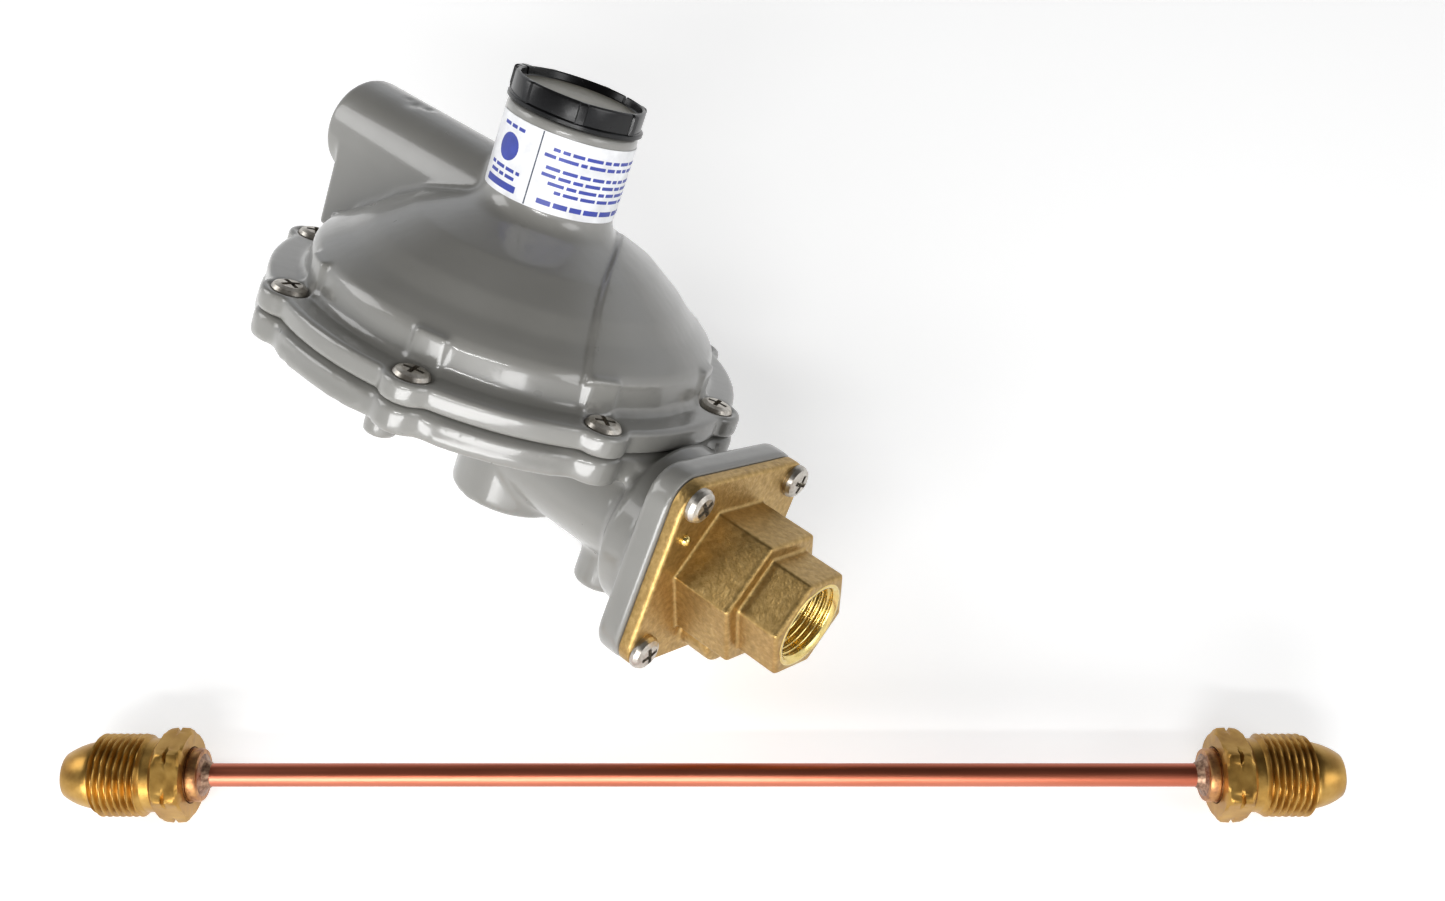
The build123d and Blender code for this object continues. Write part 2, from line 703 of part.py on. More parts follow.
def first_spring():
    length = piston_face_x - piston_head_t - guide_right_x
    return along_x(coil(first_coil_r, first_wire, 0.05, length - 0.05, 3), x=guide_right_x)


# ---- cap, gasket, vent trim and label --------------------------------------------------
def bonnet_cap():
    """Screwed cap: a rim ring, a ribbed wall with a wide lug, a well with slits, and a spigot below."""
    low = bonnet_top + 0.15
    high = bonnet_top + cap_h
    wall_r = cap_r - 0.9
    body = turned([
        (0, low), (cap_r - 0.3, low), (cap_r, low + 0.35), (cap_r, low + 1.3), (wall_r, low + 1.7),
        (wall_r, high - 0.8), (wall_r - 0.6, high), (0, high),
    ])
    rib_h = high - low - 1.6
    for k in range(cap_ribs):
        rib = Pos(wall_r, 0, low + 0.9) * Box(1.7, 2.2, rib_h, align=LOW)
        body += Rot(0, 0, cap_first_rib + 360.0 * k / cap_ribs) * rib
    lug_block = Pos(wall_r, 0, low + 0.9) * Box(2.2, 6.0, rib_h, align=LOW)
    body += Rot(0, 0, cap_lug_deg) * lug_block
    well = high - cap_well
    body -= rod_z(cap_r - cap_rim, well, high + 1.0)
    for angle in (cap_slit_deg, cap_lug_deg):
        slit = Pos(cap_r, 0, well) * Box(8.0, cap_slit_w, cap_well + 1.0, align=LOW)
        body -= Rot(0, 0, angle) * slit
    body -= ring(bonnet_bore_r + 0.3, bonnet_r - 0.9, low - 1.0, bonnet_top + cap_gasket_t)
    inner = bonnet_bore_r - 2.6
    outer = bonnet_bore_r - running_fit
    spigot_low = bonnet_top - cap_spigot
    return body + ring(inner, outer, spigot_low, low + 1.0)


def cap_gasket():
    return ring(bonnet_bore_r + 0.5, bonnet_r - 1.1, bonnet_top, bonnet_top + cap_gasket_t)


def vent_screen():
    """Woven wire disc behind the vent's thread."""
    left = vent_thread + vent_seat - vent_end - screen_t - thread_gap
    rim = ring(vent_seat_r - screen_rim, vent_seat_r - thread_gap, 0, screen_t)
    disc = along_x(rim, x=left, z=vent_z)
    span = vent_seat_r - screen_rim / 2
    middle = left + screen_t / 2
    for k in range(-4, 5):
        offset = screen_mesh * k
        half = sqrt(span * span - offset * offset)
        disc += Pos(middle, offset, vent_z) * Box(screen_wire, screen_wire, 2 * half)
        disc += Pos(middle, 0, vent_z + offset) * Box(screen_wire, 2 * half, screen_wire)
    return disc


def vent_ring():
    """Snap ring that keeps the screen in."""
    left = vent_thread - vent_end + loose_fit
    loop = ring(vent_seat_r - screen_rim, vent_seat_r - thread_gap, 0, vent_ring_t)
    return along_x(loop, x=left, z=vent_z) - Pos(left, 0, vent_z - vent_seat_r) * Box(4.0, 3.0, 4.0)


def flap_hinge(radius, length=18.0):
    """A round bar across the vent's throat, on the flap's hinge line."""
    place = Pos(flap_x + flap_t / 2, 0, vent_z + vent_throat_r - flap_drop)
    return place * Rot(90, 0, 0) * Cylinder(radius, length)


def vent_flap():
    """Light disc that hangs from a pin across the vent's throat and damps its breathing."""
    disc = rod_x(vent_throat_r - 1.2, flap_x, flap_x + flap_t, z=vent_z)
    return disc + flap_hinge(flap_pin_r * 2, 6.0) - flap_hinge(flap_pin_r + running_fit, 20.0)


def vent_flap_pin():
    return flap_hinge(flap_pin_r)


def bonnet_label():
    skin = ring(bonnet_r + thread_gap, bonnet_r + label_t, label_low, label_high)
    span = label_to_deg - label_from_deg
    reach = 3.0 * bonnet_r
    steps = 8
    corners = [(0, 0)]
    for k in range(steps + 1):
        angle = radians(label_from_deg + span * k / steps)
        corners.append((reach * cos(angle), reach * sin(angle)))
    wedge = extrude(make_face(Polyline(corners, close=True)), amount=label_high + 1.0)
    return skin & wedge


# ---- pigtail, along X from its middle --------------------------------------------------
pigtail_z = nut_flat / 2
half_length = pigtail_length / 2
thread_start = nose_length
hex_start = nose_length + nut_thread + nut_neck
hex_end = hex_start + nut_hex
nipple_end = hex_end + nipple_tail


def pol_nipple():
    """Bullet nose and tail of one fitting, drawn along Z from the nose's tip."""
    nut_fit_r = nut_bore_r - running_fit
    socket_floor = nipple_end - tube_socket
    outline = [
        (nipple_bore_r, 0), (nose_tip_r - 0.6, 0), (nose_tip_r, 0.4), (nose_tip_r + 1.1, 2.4),
        (nose_r - 0.6, 5.8), (nose_r, nose_length - 0.1), (nut_fit_r, nose_length - 0.1),
        (nut_fit_r, hex_end - 1.0), (nipple_r, hex_end - 0.4), (nipple_r, nipple_end),
        (tube_r, nipple_end), (tube_r, socket_floor), (nipple_bore_r, socket_floor),
    ]
    return turned(outline)


def pol_nut():
    """Left-hand nut: threaded barrel, smooth neck and a hexagon notched at its corners."""
    crest, root = nut_thread_r, nut_thread_r - 1.0
    outline = [(nut_bore_r, thread_start), (root - 0.4, thread_start)]
    turns = int(nut_thread / thread_pitch)
    for k in range(turns):
        z = thread_start + 0.4 + k * thread_pitch
        outline += [(root, z), (crest, z + 0.35 * thread_pitch), (crest, z + 0.6 * thread_pitch)]
    neck_start = thread_start + nut_thread
    outline += [(root, neck_start - 0.6), (nut_neck_r, neck_start), (nut_neck_r, hex_start + 0.5)]
    outline += [(nut_bore_r, hex_start + 0.5)]
    barrel = turned(outline)
    bar = extrude(RegularPolygon(nut_flat / 2, 6, major_radius=False), amount=nut_hex)
    corner_r = nut_flat / sqrt(3)
    barrel_cut = turned([
        (0, 0), (corner_r - 1.3, 0), (corner_r + 0.2, 1.0), (corner_r + 0.2, nut_hex - 1.0),
        (corner_r - 1.3, nut_hex), (0, nut_hex),
    ])
    notch = ring(corner_r - 0.75, corner_r + 2.0, nut_hex / 2 - 0.5, nut_hex / 2 + 0.5)
    hexagon = (bar & barrel_cut) - notch - Cylinder(nut_bore_r, 60.0)
    return barrel + Pos(0, 0, hex_start) * hexagon


def braze_ring():
    return turned([
        (tube_r, nipple_end), (nipple_r - 0.8, nipple_end), (tube_r + 1.2, nipple_end + 0.8),
        (tube_r, nipple_end + braze + 1.2),
    ])


def from_left(shape):
    return Pos(-half_length, 0, 0) * Rot(0, 90, 0) * shape


def from_right(shape):
    return Pos(half_length, 0, 0) * Rot(0, -90, 0) * shape


def copper_tube():
    start = nipple_end - tube_socket - half_length
    outer = rod_x(tube_r, start, -start, z=0)
    return outer - rod_x(tube_r - tube_wall, start - 1.0, 1.0 - start, z=0)


# ---- how the regulator lies ------------------------------------------------------------
# It rests on three rounded places: the rim of a back lug, the lower back corner of the square
# flange and the rim of the outlet tap.  Each is a disc, as (centre, axis, radius).
def rest_normal():
    angle = radians(first_screw_deg + 2 * 360.0 / screw_count)
    inset = flange_half - flange_corner
    discs = [
        (Vector(screw_circle_r * cos(angle), screw_circle_r * sin(angle), -lower_flange_h),
         Vector(0, 0, 1), lug_r - edge_round / 2),
        (Vector(flange_back_x + 0.6, inset, inlet_z - inset), Vector(1, 0, 0), flange_corner),
        (Vector(tap_centre[0], tap_centre[1], -tap_end), Vector(0, 0, 1), tap_r),
    ]
    up = Vector(0.08, -0.57, 0.82).normalized()
    for _ in range(30):
        feet = []
        for centre, axis, radius in discs:
            across = (up - axis * up.dot(axis)).normalized()
            feet.append(centre - across * radius)
        up = (feet[1] - feet[0]).cross(feet[2] - feet[0]).normalized()
        if up.Z < 0:
            up = up * -1
    return up


def to_row(up):
    """Turn from the regulator's frame to the row's frame, for a given local up."""
    inlet = (Vector(1, 0, 0) - up * up.X).normalized()
    side = up.cross(inlet)
    heading = radians(inlet_heading)
    right = inlet * cos(heading) - side * sin(heading)
    back = inlet * sin(heading) + side * cos(heading)
    return Plane(
        origin=(0, 0, 0), x_dir=(right.X, back.X, up.X), z_dir=(right.Z, back.Z, up.Z)
    ).location


def named_parts():
    regulator = {
        "upper_casing": upper_casting(),
        "lower_casing": lower_casting(),
        "flange_screws": flange_screws(),
        "inlet_block": inlet_block(),
        "inlet_screws": inlet_screws(),
        "inlet_gasket": inlet_gasket(),
        "inlet_orifice": inlet_orifice(),
        "inlet_filter": inlet_filter(),
        "ball_plug": ball_plug(),
        "outlet_tap_plug": tap_plug(*tap_centre, -tap_end),
        "first_stage_tap_plug": tap_plug(relief_x, 0, -relief_end),
        "outlet_orifice": outlet_orifice(),
        "valve_guide": valve_guide(),
        "lever_pin": lever_pin(),
        "vent_screen": vent_screen(),
        "vent_snap_ring": vent_ring(),
        "vent_flap_pin": vent_flap_pin(),
        "vent_flap": vent_flap(),
        "bonnet_label": bonnet_label(),
        "diaphragm": diaphragm(),
        "diaphragm_plate": diaphragm_plate(),
        "lower_washer": lower_washer(),
        "pusher_post": pusher_post(),
        "relief_nut": relief_nut(),
        "relief_washer": relief_washer(),
        "relief_spring": relief_spring(),
        "main_spring": main_spring(),
        "spring_seat": spring_seat(),
        "adjusting_screw": adjusting_screw(),
        "lever": lever(),
        "valve_stem": valve_stem(),
        "valve_disc": valve_disc(),
        "first_stage_piston": first_piston(),
        "piston_seals": piston_seals(),
        "piston_disc": piston_disc(),
        "first_stage_spring": first_spring(),
        "bonnet_cap": bonnet_cap(),
        "cap_gasket": cap_gasket(),
    }
    pigtail = {
        "copper_tube": copper_tube(),
        "left_nipple": from_left(pol_nipple()),
        "right_nipple": from_right(pol_nipple()),
        "left_nut": from_left(pol_nut()),
        "right_nut": from_right(pol_nut()),
        "left_braze": from_left(braze_ring()),
        "right_braze": from_right(braze_ring()),
    }
    return regulator, pigtail


if __name__ == "__main__":
    os.makedirs("parts", exist_ok=True)
    regulator, pigtail = named_parts()
    turn = to_row(rest_normal())
    laid = {name: turn * shape for name, shape in regulator.items()}
    floor = min(shape.bounding_box().min.Z for shape in laid.values())
    laid = {name: Pos(0, 0, -floor) * shape for name, shape in laid.items()}
    row = Pos(pigtail_aside, -pigtail_ahead, pigtail_z)
    laid.update({name: row * shape for name, shape in pigtail.items()})
    boxes = [shape.bounding_box() for shape in laid.values()]
    middle_x = (min(b.min.X for b in boxes) + max(b.max.X for b in boxes)) / 2
    middle_y = (min(b.min.Y for b in boxes) + max(b.max.Y for b in boxes)) / 2
    for name, shape in laid.items():
        export_step(Pos(-middle_x, -middle_y, 0) * shape, f"parts/{name}.step")
    print("origin moved by", round(-middle_x, 3), round(-middle_y, 3), "floor at", round(floor, 3))
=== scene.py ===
import bpy
import bmesh
import json
import random
import numpy as np
from math import ceil, cos, pi, radians, sin, sqrt, tau
from mathutils import Matrix, Vector


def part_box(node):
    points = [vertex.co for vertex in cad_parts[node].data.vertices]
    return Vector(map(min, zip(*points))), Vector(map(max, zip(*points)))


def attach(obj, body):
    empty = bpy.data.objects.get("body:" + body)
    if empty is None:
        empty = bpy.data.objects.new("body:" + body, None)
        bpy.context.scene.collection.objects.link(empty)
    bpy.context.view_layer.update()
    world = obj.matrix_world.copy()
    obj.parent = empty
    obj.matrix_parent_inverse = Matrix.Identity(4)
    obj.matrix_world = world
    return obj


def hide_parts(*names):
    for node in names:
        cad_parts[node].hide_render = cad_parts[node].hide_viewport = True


# A two-stage gas regulator and the rigid copper pigtail that lies in front of it.
# Lengths named here are millimetres; the scene is in metres.
#
# The regulator's own frame, which every piece of it is drawn in:
#   Z the bonnet axis, X the inlet axis, origin in the joint between the two castings.
# The pigtail's own frame: X along the tube, origin at its middle.

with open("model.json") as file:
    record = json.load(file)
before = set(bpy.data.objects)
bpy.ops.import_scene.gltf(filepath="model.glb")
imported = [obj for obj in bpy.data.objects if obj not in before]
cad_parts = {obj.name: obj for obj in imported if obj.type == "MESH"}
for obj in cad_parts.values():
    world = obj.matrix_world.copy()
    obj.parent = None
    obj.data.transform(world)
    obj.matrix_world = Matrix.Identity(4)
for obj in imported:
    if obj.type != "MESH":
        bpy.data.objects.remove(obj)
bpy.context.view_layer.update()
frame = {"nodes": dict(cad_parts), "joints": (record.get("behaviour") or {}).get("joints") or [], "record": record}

MM = 0.001

# ---- sizes of the regulator's own frame ------------------------------------------------
bonnet_top = 72.0
bonnet_r = 19.7
dome_r = 62.0
flange_r = 72.5
upper_flange_h = 7.0
lower_flange_h = 8.5
shoulder_top = 18.0         # where the dome's side wall turns into its crown
pad_stands = 1.3            # pads on the side wall beside each screw
pad_half_deg = 4.3
inlet_z = -22.1
vent_z = 36.5
mouth_x = 130.7
mouth_chamfer_r = 11.9
inlet_thread_r = 10.6
inlet_thread_end = 110.0
thread_pitch = 25.4 / 14
cap_low = bonnet_top + 0.15
cap_r = 20.3
cap_h = 7.65
cap_well = 2.5
cap_ribs = 7
cap_first_rib = -45.0
cap_lug_deg = -163.0
cap_slit_deg = 86.0

# ---- sizes of the pigtail --------------------------------------------------------------
half_length = 174.7
nut_flat = 22.225

joint = {j["name"]: j for j in frame["joints"]}
up = Vector(joint["cap_lift"]["axis"])
inlet = Vector(joint["valve_slide"]["axis"])
side = up.cross(inlet)
origin = Vector(joint["cap_turn"]["pos_m"]) - up * bonnet_top * MM
LAID = Matrix.Translation(origin) @ Matrix((inlet, side, up)).transposed().to_4x4()
tube_low, tube_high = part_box("copper_tube")
PIGTAIL = Matrix.Translation((tube_low + tube_high) / 2)


# ---- mesh helpers ----------------------------------------------------------------------
def new_object(name, verts, faces, place, smooth=True):
    """A mesh object drawn in millimetres in its own frame and set in place in the row's frame."""
    mesh = bpy.data.meshes.new(name)
    mesh.from_pydata([(x * MM, y * MM, z * MM) for x, y, z in verts], [], faces)
    mesh.validate()
    piece = bpy.data.objects.new(name, mesh)
    bpy.context.scene.collection.objects.link(piece)
    fix_normals(mesh)
    mesh.polygons.foreach_set("use_smooth", [smooth] * len(mesh.polygons))
    piece.matrix_world = place
    return piece


def fix_normals(mesh):
    work = bmesh.new()
    work.from_mesh(mesh)
    bmesh.ops.recalc_face_normals(work, faces=work.faces)
    work.to_mesh(mesh)
    work.free()


def grid_faces(rows, columns, wrap=True):
    """Quads of a grid of rows, each a loop (or strip) of columns."""
    faces = []
    for i in range(rows - 1):
        for k in range(columns if wrap else columns - 1):
            n = (k + 1) % columns
            faces.append((i * columns + k, i * columns + n, (i + 1) * columns + n, (i + 1) * columns + k))
    return faces


def turned(points, steps=64, place=Matrix.Identity(4), name="turned"):
    """A closed solid turned about Z from an open outline of (radius, height) points."""
    turns = [tau * k / steps for k in range(steps)]
    verts = [(r * cos(a), r * sin(a), z) for r, z in points for a in turns]
    faces = grid_faces(len(points), steps)
    faces.append(tuple(range(steps))[::-1])
    faces.append(tuple(range((len(points) - 1) * steps, len(points) * steps)))
    return new_object(name, verts, faces, place)


def block(x0, x1, y0, y1, z0, z1, place=Matrix.Identity(4), name="block"):
    verts = [(x, y, z) for x in (x0, x1) for y in (y0, y1) for z in (z0, z1)]
    faces = [(0, 1, 3, 2), (4, 6, 7, 5), (0, 4, 5, 1), (2, 3, 7, 6), (0, 2, 6, 4), (1, 5, 7, 3)]
    return new_object(name, verts, faces, place, smooth=False)


def arc_bar(r0, r1, z0, z1, from_deg, to_deg, name="arc_bar"):
    """A bar bent round the Z axis."""
    steps = max(2, int(abs(to_deg - from_deg) / 2))
    verts = []
    for k in range(steps + 1):
        a = radians(from_deg + (to_deg - from_deg) * k / steps)
        verts += [(r * cos(a), r * sin(a), z) for r, z in ((r0, z0), (r1, z0), (r1, z1), (r0, z1))]
    faces = [(0, 1, 2, 3), tuple(4 * steps + i for i in (3, 2, 1, 0))]
    faces += [(4 * k + i, 4 * k + 4 + i, 4 * k + 4 + (i + 1) % 4, 4 * k + (i + 1) % 4)
              for k in range(steps) for i in range(4)]
    return new_object(name, verts, faces, Matrix.Identity(4))


def copy_of(node, place, name):
    """A CAD node's mesh, moved into the frame that is at place."""
    mesh = frame["nodes"][node].data.copy()
    mesh.transform(place.inverted())
    mesh.materials.clear()
    piece = bpy.data.objects.new(name, mesh)
    bpy.context.scene.collection.objects.link(piece)
    return piece


def bake_modifiers(piece):
    """Replaces the mesh by what its modifiers make of it."""
    graph = bpy.context.evaluated_depsgraph_get()
    graph.update()
    mesh = bpy.data.meshes.new_from_object(piece.evaluated_get(graph))
    piece.modifiers.clear()
    piece.data = mesh
    return piece


def remesh(piece, voxel):
    mod = piece.modifiers.new("remesh", "REMESH")
    mod.mode = "VOXEL"
    mod.voxel_size = voxel * MM
    mod.use_smooth_shade = True
    return bake_modifiers(piece)


def soften(piece, passes, factor=0.5):
    mod = piece.modifiers.new("soften", "SMOOTH")
    mod.factor = factor
    mod.iterations = passes
    return bake_modifiers(piece)


def swell(piece, amount):
    mod = piece.modifiers.new("swell", "DISPLACE")
    mod.strength = amount * MM
    mod.mid_level = 0.0
    return bake_modifiers(piece)


def thin_out(piece, ratio):
    """Fewer faces where the surface is flat."""
    mod = piece.modifiers.new("thin_out", "DECIMATE")
    mod.ratio = ratio
    bake_modifiers(piece)
    piece.data.polygons.foreach_set("use_smooth", [True] * len(piece.data.polygons))
    return piece


def join(piece, extras):
    """One mesh of several overlapping solids, all in the same frame. A remesh makes one skin of it."""
    work = bmesh.new()
    work.from_mesh(piece.data)
    for extra in extras:
        mesh = extra.data.copy()
        mesh.transform(extra.matrix_world)
        work.from_mesh(mesh)
        bpy.data.objects.remove(extra)
    work.to_mesh(piece.data)
    work.free()
    return piece


def cut(piece, cutters):
    for cutter in cutters:
        mod = piece.modifiers.new("cut", "BOOLEAN")
        mod.operation = "DIFFERENCE"
        mod.object = cutter
        mod.solver = "MANIFOLD"
    bpy.context.view_layer.update()
    bake_modifiers(piece)
    for cutter in cutters:
        bpy.data.objects.remove(cutter)
    return piece


def read(vectors, name):
    values = np.empty(len(vectors) * 3)
    vectors.foreach_get(name, values)
    return values.reshape(-1, 3)


def reshape(piece, move):
    """Moves each point along its normal by move(points, normals), in millimetres in its own frame."""
    points, normals = read(piece.data.vertices, "co"), read(piece.data.vertices, "normal")
    points += normals * (move(points / MM, normals) * MM)[:, None]
    piece.data.vertices.foreach_set("co", points.ravel())
    piece.data.update()
    return piece


def smooth_step(value, low, high):
    share = np.clip((value - low) / (high - low), 0, 1)
    return share * share * (3 - 2 * share)


def settle(piece, place, body, slot, nodes, *materials):
    """Puts a finished piece on its body, with its finish and the CAD nodes it stands for.

    The mesh is set out in the row's frame, so that its box is no larger than its shape.
    """
    piece.data.transform(place)
    piece.matrix_world = Matrix.Identity(4)
    piece.data.materials.clear()
    for material in materials:
        piece.data.materials.append(material)
    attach(piece, body)
    if nodes:
        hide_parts(*nodes)
    return piece


# ---- material helpers ------------------------------------------------------------------
class Paint:
    """A Principled material and the node wiring that patterns need."""

    def __init__(self, name, colour, rough, metal=0.0, **sockets):
        self.made = bpy.data.materials.new(name)
        self.made.use_nodes = True
        self.tree = self.made.node_tree
        self.shader = self.tree.nodes["Principled BSDF"]
        self.put("Base Color", (*colour, 1.0))
        self.put("Roughness", rough)
        self.put("Metallic", metal)
        for socket, value in sockets.items():
            self.put(socket.replace("_", " "), value)
        self.where = self.tree.nodes.new("ShaderNodeTexCoord").outputs["Object"]
        self.height = None

    def put(self, socket, value):
        self.shader.inputs[socket].default_value = value

    def node(self, kind, **values):
        made = self.tree.nodes.new(kind)
        for key, value in values.items():
            if key in made.inputs:
                made.inputs[key].default_value = value
            else:
                setattr(made, key, value)
        return made

    def link(self, source, target):
        self.tree.links.new(source, target)

    def noise(self, size, detail=3.0, stretch=(1, 1, 1), rough=0.55):
        """Noise with features of about size millimetres."""
        mapping = self.node("ShaderNodeMapping")
        mapping.inputs["Scale"].default_value = [s / (size * MM) for s in stretch]
        self.link(self.where, mapping.inputs["Vector"])
        made = self.node("ShaderNodeTexNoise", Scale=1.0, Detail=detail, Roughness=rough)
        self.link(mapping.outputs[0], made.inputs["Vector"])
        return made.outputs["Fac"]

    def ramp(self, source, stops, colour=True):
        made = self.node("ShaderNodeValToRGB")
        elements = made.color_ramp.elements
        while len(elements) < len(stops):
            elements.new(0.5)
        for element, (place, value) in zip(elements, stops):
            element.position = place
            element.color = (*value, 1.0) if colour else (value, value, value, 1.0)
        self.link(source, made.inputs["Fac"])
        return made.outputs["Color"]

    def colour_by(self, source, stops):
        self.link(self.ramp(source, stops), self.shader.inputs["Base Color"])
        return self

    def rough_by(self, source, low, high):
        made = self.node("ShaderNodeMapRange")
        made.inputs["To Min"].default_value = low
        made.inputs["To Max"].default_value = high
        self.link(source, made.inputs["Value"])
        self.link(made.outputs["Result"], self.shader.inputs["Roughness"])
        return self

    def bump_by(self, source, depth, strength=1.0):
        """Bump of depth millimetres; a second call goes on top of the first."""
        made = self.node("ShaderNodeBump")
        made.inputs["Strength"].default_value = strength
        made.inputs["Distance"].default_value = depth * MM
        self.link(source, made.inputs["Height"])
        if self.height:
            self.link(self.height, made.inputs["Normal"])
        self.height = made.outputs["Normal"]
        self.link(self.height, self.shader.inputs["Normal"])
        return self


def grey_paint():
    p = Paint("grey_paint", (0.21, 0.206, 0.19), 0.3, Coat_Weight=0.7, Coat_Roughness=0.1)
    p.colour_by(p.noise(38.0, 2.0), [(0.3, (0.195, 0.191, 0.176)), (0.7, (0.225, 0.221, 0.205))])
    p.rough_by(p.noise(9.0), 0.24, 0.36)
    p.bump_by(p.noise(5.5, 1.0), 0.10)
    p.bump_by(p.noise(0.9, 2.0), 0.010)
    return p.made


def cast_brass():
    p = Paint("cast_brass", (0.62, 0.42, 0.14), 0.42, 1.0)
    p.colour_by(p.noise(1.6, 4.0),
                [(0.3, (0.34, 0.22, 0.075)), (0.55, (0.46, 0.305, 0.115)), (0.8, (0.60, 0.425, 0.18))])
    p.rough_by(p.noise(1.0), 0.34, 0.52)
    p.bump_by(p.noise(0.75, 3.0), 0.10)
    p.bump_by(p.noise(3.2, 2.0), 0.12)
    return p.made


def machined_brass():
    p = Paint("machined_brass", (0.78, 0.60, 0.22), 0.22, 1.0)
    p.colour_by(p.noise(3.0), [(0.3, (0.72, 0.54, 0.18)), (0.7, (0.83, 0.66, 0.27))])
    p.bump_by(p.noise(0.35, 1.0, (1.0, 0.08, 0.08)), 0.012)
    return p.made


def turned_brass():
    """Bar brass turned on a lathe and a little tarnished, with fine rings round its X axis."""
    p = Paint("turned_brass", (0.47, 0.30, 0.085), 0.36, 1.0)
    p.colour_by(p.noise(5.0, 4.0),
                [(0.25, (0.29, 0.15, 0.035)), (0.5, (0.42, 0.24, 0.06)), (0.8, (0.54, 0.34, 0.10))])
    p.rough_by(p.noise(2.5), 0.28, 0.46)
    p.bump_by(p.noise(0.3, 1.0, (1.0, 0.05, 0.05)), 0.012)
    return p.made


def tarnished_brass():
    p = Paint("tarnished_brass", (0.40, 0.21, 0.09), 0.4, 1.0)
    p.colour_by(p.noise(2.2, 4.0),
                [(0.3, (0.22, 0.10, 0.05)), (0.5, (0.44, 0.22, 0.09)), (0.75, (0.58, 0.34, 0.13))])
    p.bump_by(p.noise(1.0, 3.0), 0.08)
    return p.made


def copper():
    p = Paint("copper", (0.62, 0.23, 0.15), 0.36, 1.0)
    p.colour_by(p.noise(9.0, 3.0, (0.08, 1.0, 1.0)),
                [(0.3, (0.42, 0.11, 0.06)), (0.5, (0.52, 0.155, 0.09)), (0.75, (0.62, 0.22, 0.14))])
    p.rough_by(p.noise(2.0, 3.0, (0.05, 1.0, 1.0)), 0.28, 0.46)
    p.bump_by(p.noise(0.7, 2.0, (0.03, 1.0, 1.0)), 0.02)
    return p.made


def braze_metal():
    p = Paint("braze_metal", (0.32, 0.2, 0.13), 0.4, 1.0)
    p.colour_by(p.noise(1.2, 3.0), [(0.35, (0.16, 0.09, 0.06)), (0.65, (0.42, 0.27, 0.18))])
    p.bump_by(p.noise(0.8, 2.0), 0.10)
    return p.made


def screw_steel():
    """Dull nickelled steel, darker and browner in random patches."""
    p = Paint("screw_steel", (0.52, 0.49, 0.44), 0.34, 1.0)
    p.colour_by(p.noise(1.5, 4.0),
                [(0.3, (0.38, 0.345, 0.30)), (0.6, (0.56, 0.53, 0.48)), (0.85, (0.66, 0.64, 0.60))])
    p.rough_by(p.noise(0.9), 0.26, 0.44)
    p.bump_by(p.noise(0.6, 2.0), 0.02)
    return p.made


def black_plastic():
    p = Paint("black_plastic", (0.005, 0.005, 0.0055), 0.2, Specular_IOR_Level=0.35)
    p.rough_by(p.noise(4.0), 0.17, 0.32)
    p.bump_by(p.noise(2.2, 2.0), 0.03)
    return p.made


def plain(name, colour, rough, metal=0.0, grain=1.0, depth=0.01):
    """A fine-grained finish for the pieces inside."""
    p = Paint(name, colour, rough, metal)
    dark = tuple(c * 0.85 for c in colour)
    light = tuple(min(1.0, c * 1.12) for c in colour)
    p.colour_by(p.noise(grain * 3), [(0.3, dark), (0.7, light)])
    p.bump_by(p.noise(grain, 2.0), depth)
    return p.made


PAINT = grey_paint()
CAST_BRASS = cast_brass()
BRIGHT_BRASS = machined_brass()
TURNED_BRASS = turned_brass()
TARNISHED = tarnished_brass()
COPPER = copper()
BRAZE = braze_metal()
STEEL = screw_steel()
BLACK = black_plastic()
# Painted reflection: grey-beige in place of the bright surroundings mirrored in the cap's glossy black well floor.
CAP_FLOOR_PAINTED_REFLECTION = plain("cap_floor_painted_reflection", (0.27, 0.255, 0.205), 0.38, grain=1.5, depth=0.01)
WHITE_FILM = plain("label_film", (0.75, 0.755, 0.77), 0.38, grain=2.0, depth=0.004)
BLUE_INK = plain("blue_ink", (0.03, 0.05, 0.32), 0.45, grain=1.0, depth=0.002)
DARK_INK = plain("dark_ink", (0.06, 0.07, 0.10), 0.45, grain=1.0, depth=0.002)
RUBBER = plain("rubber", (0.03, 0.03, 0.03), 0.7, grain=0.8, depth=0.02)
NYLON = plain("nylon", (0.70, 0.68, 0.62), 0.5, grain=1.5)
BRONZE = plain("sintered_bronze", (0.42, 0.27, 0.13), 0.6, 1.0, grain=0.5, depth=0.08)
ALUMINIUM = plain("machined_aluminium", (0.66, 0.67, 0.69), 0.3, 1.0)

FINISH = {
    "grey_casting": PAINT,
    "cast_brass": BRIGHT_BRASS,
    "turned_brass": TURNED_BRASS,
    "zinc_steel": STEEL,
    "rubber": RUBBER,
    "black_plastic": BLACK,
    "nylon": NYLON,
    "machined_aluminium": ALUMINIUM,
    "sintered_bronze": BRONZE,
    "label_film": WHITE_FILM,
    "copper": COPPER,
    "braze_alloy": BRAZE,
}
for part in frame["record"]["subparts"]:
    cad = frame["nodes"][part["node"]]
    cad.data.materials.clear()
    cad.data.materials.append(FINISH[part["material_slot"]])


# ---- castings --------------------------------------------------------------------------
def cast_skin(piece, voxel, fillet_r, passes):
    """One cast skin: hollows between the solids are filled to a radius and the edges rounded."""
    remesh(piece, voxel)
    swell(piece, fillet_r)
    remesh(piece, voxel)
    swell(piece, -fillet_r)
    remesh(piece, voxel)
    return soften(piece, passes)


def screw_angles():
    return [22.5 + 45 * k for k in range(8)]


